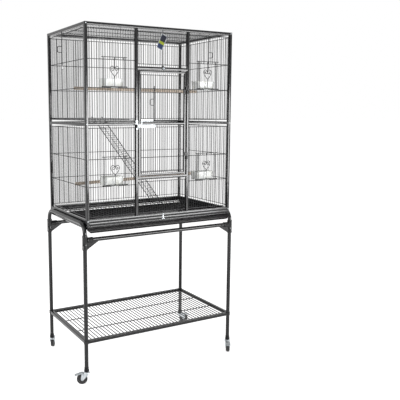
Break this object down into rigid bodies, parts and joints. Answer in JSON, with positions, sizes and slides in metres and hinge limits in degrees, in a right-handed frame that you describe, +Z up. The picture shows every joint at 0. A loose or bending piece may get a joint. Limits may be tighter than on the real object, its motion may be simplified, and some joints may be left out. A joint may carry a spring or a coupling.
{
  "type": "parrot cage",
  "caption": "Wire parrot flight cage on a rolling stand, with a front door, lift-up feeder doors, cups, perches, ladder, slide-out grate and tray, and a low shelf.",
  "frame": {"origin": "on the floor under the middle of the cage", "axes": "+X right along the long front, +Y to the back, +Z up; the front faces -Y"},
  "size_m": [0.9118, 0.5754, 1.626],
  "materials": {
    "powder_coat": "dark hammertone powder coat on steel",
    "tray_plastic": "glossy black",
    "zinc": "bright zinc plate",
    "black_plastic": "satin black",
    "wheel": "satin black nylon wheel",
    "cup_plastic": "white",
    "dowel": "pale unfinished dowel",
    "card": "printed card, bands of colour, no lettering"
  },
  "bodies": {
    "cage_and_stand": {"leg_frame_left": "powder_coat", "leg_frame_right": "powder_coat", "cross_rail_front": "powder_coat", "cross_rail_back": "powder_coat", "corner_bracket_front_left": "powder_coat", "corner_bracket_front_right": "powder_coat", "corner_bracket_back_left": "powder_coat", "corner_bracket_back_right": "powder_coat", "storage_shelf": "powder_coat", "caster_collar_front_left": "black_plastic", "caster_collar_front_right": "black_plastic", "caster_collar_back_left": "black_plastic", "caster_collar_back_right": "black_plastic", "base_frame": "powder_coat", "front_frame": "powder_coat", "front_mesh_upper_left": "powder_coat", "front_mesh_upper_right": "powder_coat", "front_mesh_lower_left": "powder_coat", "front_mesh_lower_right": "powder_coat", "header_mesh": "powder_coat", "sill_mesh": "powder_coat", "back_panel": "powder_coat", "left_panel": "powder_coat", "right_panel": "powder_coat", "roof_panel": "powder_coat", "latch_catch": "zinc", "cup_upper_left": "cup_plastic", "cup_upper_right": "cup_plastic", "cup_lower_left": "cup_plastic", "cup_lower_right": "cup_plastic", "perch_upper": "dowel", "perch_lower": "dowel", "platform": "powder_coat"},
    "caster_front_left": {"caster_fork_front_left": "zinc"},
    "wheel_front_left": {"caster_wheel_front_left": "wheel"},
    "brake_front_left": {"caster_brake_front_left": "zinc"},
    "caster_front_right": {"caster_fork_front_right": "zinc"},
    "wheel_front_right": {"caster_wheel_front_right": "wheel"},
    "brake_front_right": {"caster_brake_front_right": "zinc"},
    "caster_back_right": {"caster_fork_back_right": "zinc"},
    "wheel_back_right": {"caster_wheel_back_right": "wheel"},
    "brake_back_right": {"caster_brake_back_right": "zinc"},
    "caster_back_left": {"caster_fork_back_left": "zinc"},
    "wheel_back_left": {"caster_wheel_back_left": "wheel"},
    "brake_back_left": {"caster_brake_back_left": "zinc"},
    "door": {"door": "powder_coat", "latch_pin": "zinc"},
    "latch": {"latch_lever": "zinc", "latch_knob": "black_plastic"},
    "door_rod": {"slide_rod_door": "powder_coat"},
    "left_rod": {"slide_rod_left": "powder_coat"},
    "right_rod": {"slide_rod_right": "powder_coat"},
    "feeder_door_upper_left": {"feeder_door_upper_left": "powder_coat"},
    "feeder_door_lower_left": {"feeder_door_lower_left": "powder_coat"},
    "feeder_door_upper_right": {"feeder_door_upper_right": "powder_coat"},
    "feeder_door_lower_right": {"feeder_door_lower_right": "powder_coat"},
    "tray": {"waste_tray": "tray_plastic"},
    "grate": {"floor_grate": "powder_coat"},
    "ladder": {"ladder": "powder_coat"},
    "tag": {"hang_tag": "card"}
  },
  "joints": [
    {"name": "swivel_front_left", "type": "hinge", "parent": "cage_and_stand", "child": "caster_front_left", "pos_m": [-0.39943, -0.2335, 0.05], "axis": [0, 0, 1], "continuous": true},
    {"name": "roll_front_left", "type": "hinge", "parent": "caster_front_left", "child": "wheel_front_left", "pos_m": [-0.41916, -0.22632, 0.025], "axis": [-0.342, -0.9397, 0], "continuous": true},
    {"name": "brake_front_left", "type": "hinge", "parent": "caster_front_left", "child": "brake_front_left", "pos_m": [-0.41437, -0.22806, 0.05246], "axis": [0.342, 0.9397, 0], "range_deg": [0, 18]},
    {"name": "swivel_front_right", "type": "hinge", "parent": "cage_and_stand", "child": "caster_front_right", "pos_m": [0.39943, -0.2335, 0.05], "axis": [0, 0, 1], "continuous": true},
    {"name": "roll_front_right", "type": "hinge", "parent": "caster_front_right", "child": "wheel_front_right", "pos_m": [0.38893, -0.25169, 0.025], "axis": [0.866, -0.5, 0], "continuous": true},
    {"name": "brake_front_right", "type": "hinge", "parent": "caster_front_right", "child": "brake_front_right", "pos_m": [0.39148, -0.24727, 0.05246], "axis": [-0.866, 0.5, 0], "range_deg": [0, 18]},
    {"name": "swivel_back_right", "type": "hinge", "parent": "cage_and_stand", "child": "caster_back_right", "pos_m": [0.39943, 0.2335, 0.05], "axis": [0, 0, 1], "continuous": true},
    {"name": "roll_back_right", "type": "hinge", "parent": "caster_back_right", "child": "wheel_back_right", "pos_m": [0.41916, 0.22632, 0.025], "axis": [0.342, 0.9397, 0], "continuous": true},
    {"name": "brake_back_right", "type": "hinge", "parent": "caster_back_right", "child": "brake_back_right", "pos_m": [0.41437, 0.22806, 0.05246], "axis": [-0.342, -0.9397, 0], "range_deg": [0, 18]},
    {"name": "swivel_back_left", "type": "hinge", "parent": "cage_and_stand", "child": "caster_back_left", "pos_m": [-0.39943, 0.2335, 0.05], "axis": [0, 0, 1], "continuous": true},
    {"name": "roll_back_left", "type": "hinge", "parent": "caster_back_left", "child": "wheel_back_left", "pos_m": [-0.38893, 0.25169, 0.025], "axis": [-0.866, 0.5, 0], "continuous": true},
    {"name": "brake_back_left", "type": "hinge", "parent": "caster_back_left", "child": "brake_back_left", "pos_m": [-0.39148, 0.24727, 0.05246], "axis": [0.866, -0.5, 0], "range_deg": [0, 18]},
    {"name": "door_hinge", "type": "hinge", "parent": "cage_and_stand", "child": "door", "pos_m": [0.12965, -0.24265, 1.188], "axis": [0, 0, 1], "range_deg": [0, 110]},
    {"name": "latch_lift", "type": "hinge", "parent": "door", "child": "latch", "pos_m": [-0.045, -0.2402, 1.178], "axis": [0, 1, 0], "range_deg": [0, 40]},
    {"name": "door_rod_slide", "type": "slide", "parent": "door", "child": "door_rod", "axis": [0, 0, -1], "range_m": [0, 0.009]},
    {"name": "left_rod_slide", "type": "slide", "parent": "cage_and_stand", "child": "left_rod", "axis": [0, 0, -1], "range_m": [0, 0.012]},
    {"name": "right_rod_slide", "type": "slide", "parent": "cage_and_stand", "child": "right_rod", "axis": [0, 0, -1], "range_m": [0, 0.012]},
    {"name": "feeder_lift_upper_left", "type": "slide", "parent": "cage_and_stand", "child": "feeder_door_upper_left", "axis": [0, 0, 1], "range_m": [0, 0.105]},
    {"name": "feeder_lift_lower_left", "type": "slide", "parent": "cage_and_stand", "child": "feeder_door_lower_left", "axis": [0, 0, 1], "range_m": [0, 0.105]},
    {"name": "feeder_lift_upper_right", "type": "slide", "parent": "cage_and_stand", "child": "feeder_door_upper_right", "axis": [0, 0, 1], "range_m": [0, 0.105]},
    {"name": "feeder_lift_lower_right", "type": "slide", "parent": "cage_and_stand", "child": "feeder_door_lower_right", "axis": [0, 0, 1], "range_m": [0, 0.105]},
    {"name": "tray_slide", "type": "slide", "parent": "cage_and_stand", "child": "tray", "axis": [0, -1, 0], "range_m": [0, 0.4]},
    {"name": "grate_slide", "type": "slide", "parent": "cage_and_stand", "child": "grate", "axis": [0, -1, 0], "range_m": [0, 0.4]},
    {"name": "ladder_lift", "type": "hinge", "parent": "cage_and_stand", "child": "ladder", "pos_m": [-0.165, 0.15, 1.20975], "axis": [0, -1, 0], "range_deg": [0, 28]},
    {"name": "tag_swing", "type": "hinge", "parent": "cage_and_stand", "child": "tag", "pos_m": [-0.00635, -0.232, 1.6023], "axis": [0, 1, 0], "range_deg": [-25, 25]}
  ]
}
